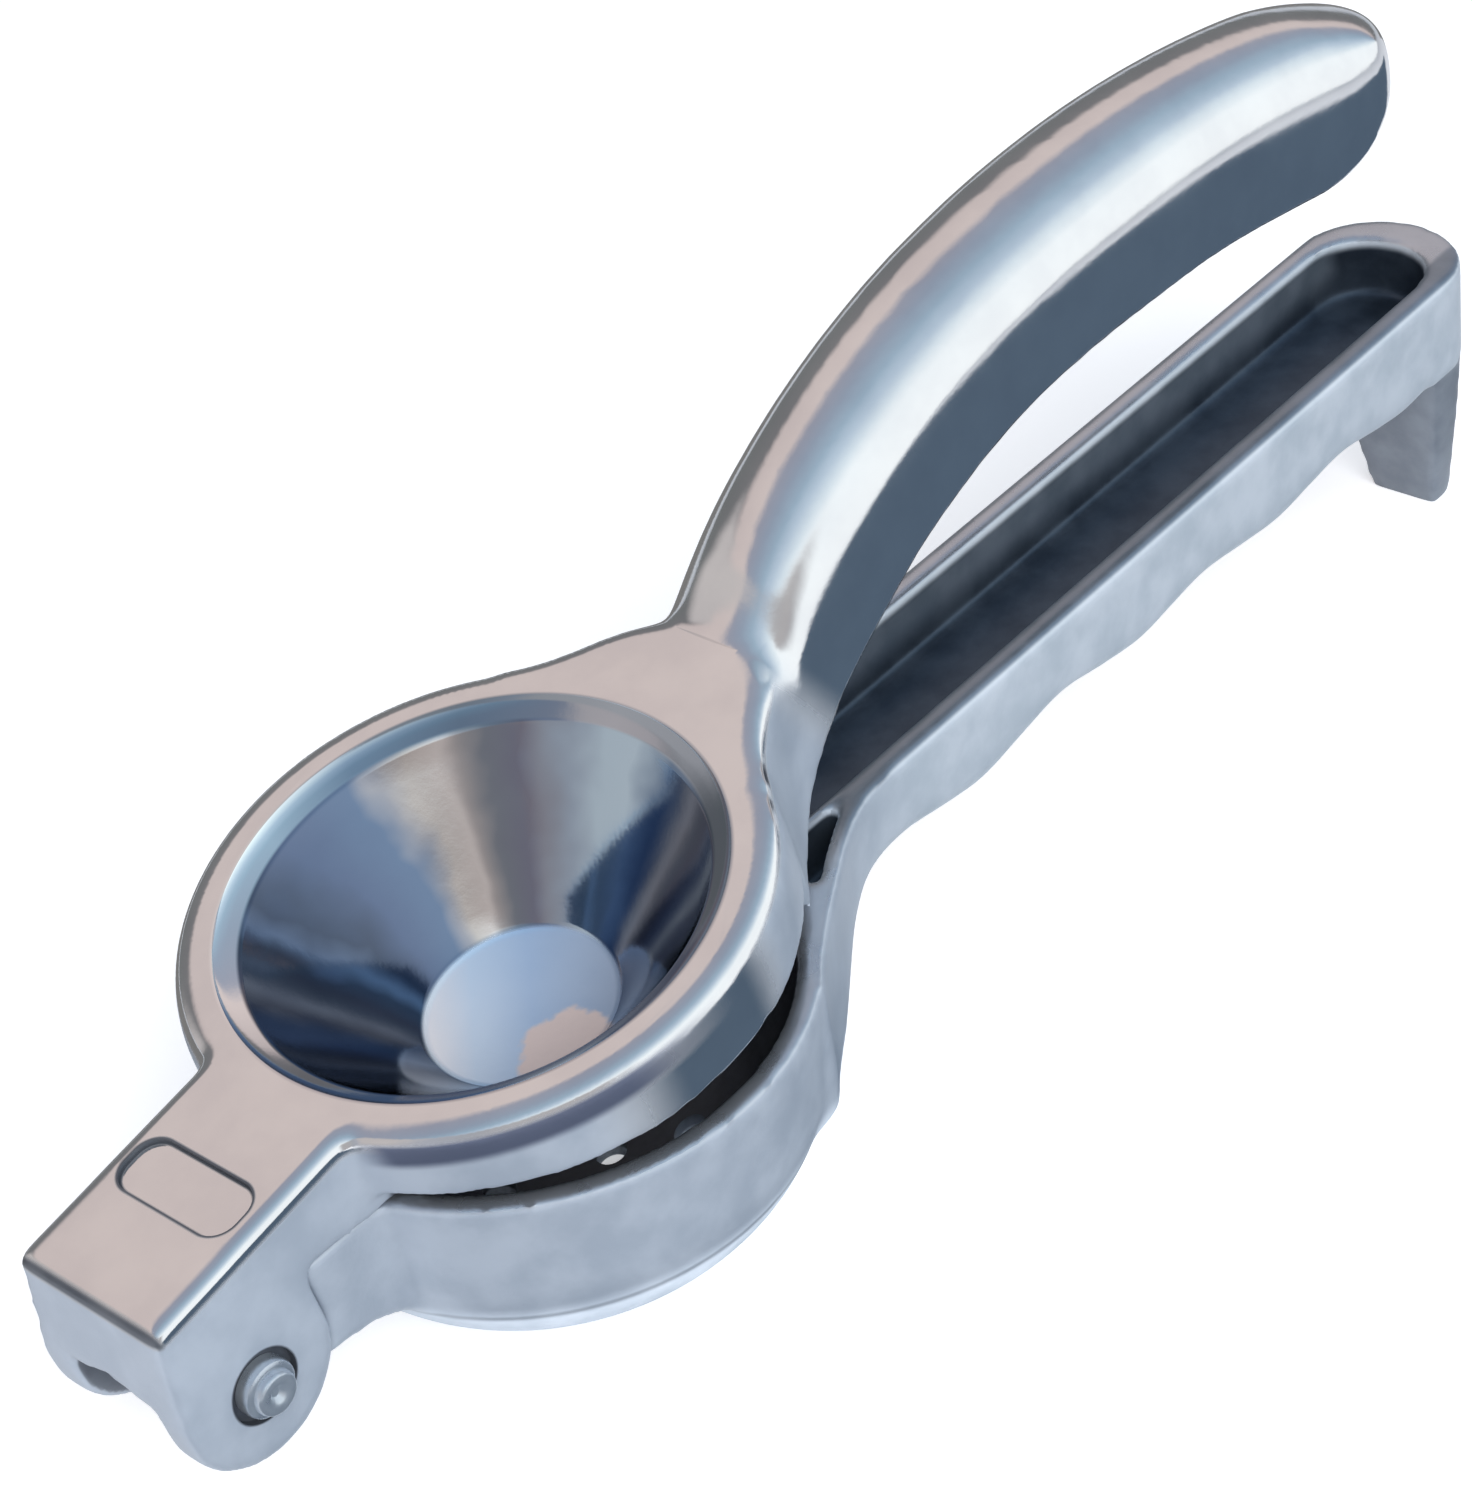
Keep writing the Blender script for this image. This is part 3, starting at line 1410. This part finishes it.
@dataclass
class Studio:
    """The pale floor, the lights and the camera.

    The camera stands in the lower lever's frame, in millimetres. The room's tones
    lie at angles in degrees, over the object from the far side to the near one,
    and beyond its hinge from straight ahead round to the near side.
    """

    stance: Stance
    focal_px: float = 3407.2
    azimuth: float = 43.73
    elevation: float = 37.16
    roll: float = -9.97
    eye: Point3 = (-110.3, -199.84, 222.64)
    floor_tone: Point3 = (0.88, 0.88, 0.88)
    floor_lift: float = 0.4
    lamp_at: Point3 = (-0.55, -0.75, 0.8)
    lamp_aim: Point3 = (0, 0, 0.03)
    lamp_size: float = 0.7
    lamp_power: float = 13
    lamp_tone: Point3 = (0.97, 0.98, 1.0)
    cards: tuple[tuple[str, Point3, Point2, Point3], ...] = (
        ("near_flag", (0.05, -0.66, 0.0004), (0.74, 1.3), (0.085, 0.125, 0.18)),
        ("far_flag", (0.12, 0.26, 0.0004), (0.8, 0.4), (0.20, 0.20, 0.20)))
    over: Stops = (
        (-90, (0.17, 0.18, 0.185)), (-58, (0.19, 0.19, 0.20)), (-51, (0.62, 0.54, 0.53)),
        (-30, (0.66, 0.575, 0.56)), (-22, (0.32, 0.34, 0.42)), (-4, (0.30, 0.36, 0.46)),
        (16, (0.34, 0.46, 0.58)), (32, (0.50, 0.62, 0.75)), (46, (0.75, 0.86, 0.94)),
        (57, (0.97, 1.04, 1.08)), (90, (1.0, 1.05, 1.08)))
    behind: Stops = (
        (0, (0.55, 0.52, 0.52)), (10, (0.42, 0.44, 0.50)), (24, (0.40, 0.42, 0.46)),
        (36, (0.44, 0.44, 0.46)), (60, (0.46, 0.45, 0.46)), (90, (0.40, 0.42, 0.46)))

    def camera(self) -> None:
        """Stand the camera where the view is taken from."""
        a, e, r = (math.radians(v) for v in (self.azimuth, self.elevation, self.roll))
        ahead = Vector((math.sin(a) * math.cos(e), math.cos(a) * math.cos(e), -math.sin(e)))
        level = Vector((math.cos(a), -math.sin(a), 0))
        plumb = level.cross(ahead)
        right = math.cos(r) * level + math.sin(r) * plumb
        up = -math.sin(r) * level + math.cos(r) * plumb
        turn = Matrix((right, up, -ahead)).transposed().to_4x4()
        place = self.stance.lower
        spin = place.to_quaternion().to_matrix().to_4x4()
        data = bpy.data.cameras.new("view")
        data.lens = SENSOR_MM * self.focal_px / max(FRAME_PX)
        camera = bpy.data.objects.new("view", data)
        bpy.context.scene.collection.objects.link(camera)
        camera.matrix_world = Matrix.Translation(place @ Vector(self.eye)) @ spin @ turn
        bpy.context.scene.camera = camera

    @staticmethod
    def sheet(p: Paint, name: str, at: Point3, size: Point2) -> Piece:
        """A flat stage object with its material.

        Args:
            p: the material.
            name: the sheet's name.
            at: its middle.
            size: its length and width in metres.

        Returns:
            The sheet.
        """
        clear()
        bpy.ops.mesh.primitive_plane_add(size=1, location=at)
        sheet = made(name, (*size, 1))
        sheet.data.materials.append(p.material)
        return sheet

    def floor(self) -> None:
        """A plain white floor that keeps the shadow."""
        p = Paint("floor_white")
        p.feed("Base Color", (*self.floor_tone, 1))
        p.feed("Roughness", 0.9)
        seen = p.node("ShaderNodeLightPath", {}, {}, "Is Camera Ray")
        p.feed("Emission Color", (1, 1, 1, 1))
        p.feed("Emission Strength", seen * self.floor_lift)
        self.sheet(p, "floor", ORIGIN, (6, 6))

    def flags(self) -> None:
        """A dark and a grey card on the floor, there only for the metal to mirror."""
        for name, at, size, tone in self.cards:
            p = Paint(name, glow=True)
            p.feed("Color", (*tone, 1))
            card = self.sheet(p, name, at, size)
            for ray in ("camera", "diffuse", "shadow", "transmission", "volume_scatter"):
                setattr(card, "visible_" + ray, False)

    def lamp(self) -> None:
        """A soft panel high on the near side, which the metal doesn't mirror."""
        data = bpy.data.lights.new("key", "AREA")
        data.shape = "RECTANGLE"
        data.size = data.size_y = self.lamp_size
        data.energy = self.lamp_power
        data.color = self.lamp_tone
        light = bpy.data.objects.new("key", data)
        bpy.context.scene.collection.objects.link(light)
        light.location = self.lamp_at
        ahead = Vector(self.lamp_aim) - Vector(self.lamp_at)
        light.rotation_euler = ahead.to_track_quat("-Z", "Y").to_euler()
        light.visible_glossy = False

    def world(self) -> None:
        """The room: warm far side, blue above, pale near side, grey beyond the hinge."""
        world = bpy.data.worlds.new("room")
        world.use_nodes = True
        p = Nodes(world.node_tree, world.node_tree.nodes["Background"])
        x, y, z = p.split(p.node("ShaderNodeTexCoord", {}, {}, "Generated"))
        room = p.dial((y * -1).angle(z), -90, 90, self.over)
        aside = (y * -1 + 0.0001).angle(x * -1)
        low = p.dial(aside, 0, 90, self.behind)
        back = p.mix(z.fade((0.46, 0.58)), low, room)
        p.feed("Color", p.mix(x.fade((-0.1, -0.4)), room, back))
        p.feed("Strength", 1.0)
        bpy.context.scene.world = world

    def build(self) -> None:
        """Set up the studio."""
        bpy.context.scene.view_settings.view_transform = "Standard"
        self.world()
        self.floor()
        self.flags()
        self.lamp()
        self.camera()


# ----------------------------------------------------------------- the run


def dress(piece: Piece, finish: Casting, node: str, body: str) -> None:
    """Give a piece its finish and its place in the model.

    Args:
        piece: the piece.
        finish: its metal.
        node: the CAD node it stands for.
        body: the body it moves with.
    """
    piece.data.materials.clear()
    piece.data.materials.append(finish.paint())
    smooth(piece, SHARP_EDGE)
    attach(piece, body)
    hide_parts(node)
    log.info("%s: %d faces", piece.name, len(piece.data.polygons))


def main() -> None:
    """Build the squeezer and its studio."""
    logging.basicConfig(level=logging.INFO, format="%(name)s: %(message)s")
    stance = Stance(tuple(frame["record"]["behaviour"]["joints"][0]["pos_m"]))
    lower_lever, upper_lever, pin = LowerLever(stance), UpperLever(stance), HingePin(stance)
    lower = LowerFinish(
        "cast_aluminium", SATIN, cloud=150, grain=1300, bump=0.00012, stance=stance,
        angle=stance.rim_slope, shape=lower_lever)
    upper = UpperFinish(
        "polished_aluminium", POLISHED, cloud=120, grain=1300, bump=0.00012, stance=stance,
        angle=stance.rim_slope + stance.open_angle, shape=upper_lever)
    steel = Casting("pin_steel", STEEL, cloud=400, grain=3000, bump=0.0001)
    dress(lower_lever.build(), lower, "lower_lever", "lower_lever")
    dress(upper_lever.build(), upper, "upper_lever", "upper_lever")
    dress(pin.build(), steel, "hinge_pin", "upper_lever")
    Studio(stance).build()
    clear()


if __name__ == "__main__":
    main()
